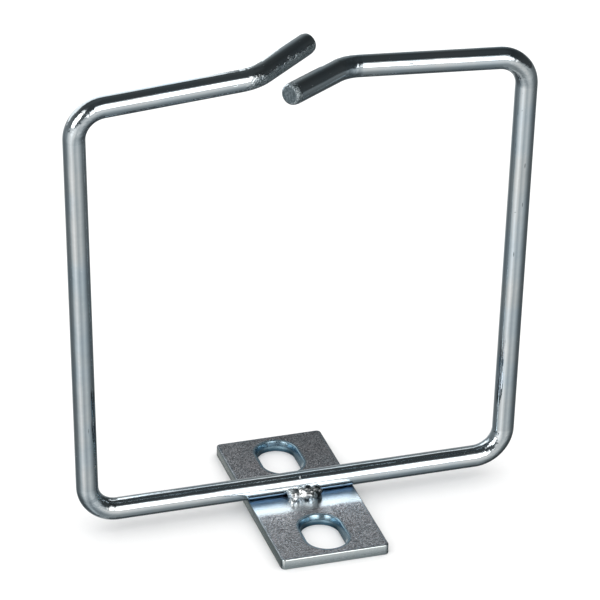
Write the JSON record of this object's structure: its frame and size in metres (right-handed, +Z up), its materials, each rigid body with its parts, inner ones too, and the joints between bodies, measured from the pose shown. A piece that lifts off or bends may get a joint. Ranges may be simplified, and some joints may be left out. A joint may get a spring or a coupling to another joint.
{
  "type": "cable routing ring",
  "caption": "Open square ring of bent round rod welded to a small flat plate with screw slots; it guides a cable bundle, and cables slip in between its two bent-out tips.",
  "frame": {"origin": "centre of the mounting plate's underside, the face that is screwed down", "axes": "+X along the ring's bottom bar, +Y along the plate, away from the side with the weld bead, +Z up through the ring, away from the mounting face"},
  "size_m": [0.0862, 0.042, 0.0894],
  "materials": {
    "plated_rod": "bright zinc plate on smooth drawn steel, close to a mirror",
    "plated_plate": "blue passivated zinc plate on grainy rolled steel",
    "plated_weld": "bright zinc plate on a crumpled weld bead"
  },
  "bodies": {
    "root": {"wire_ring": "plated_rod", "mounting_plate": "plated_plate", "weld_bead": "plated_weld"}
  },
  "joints": []
}
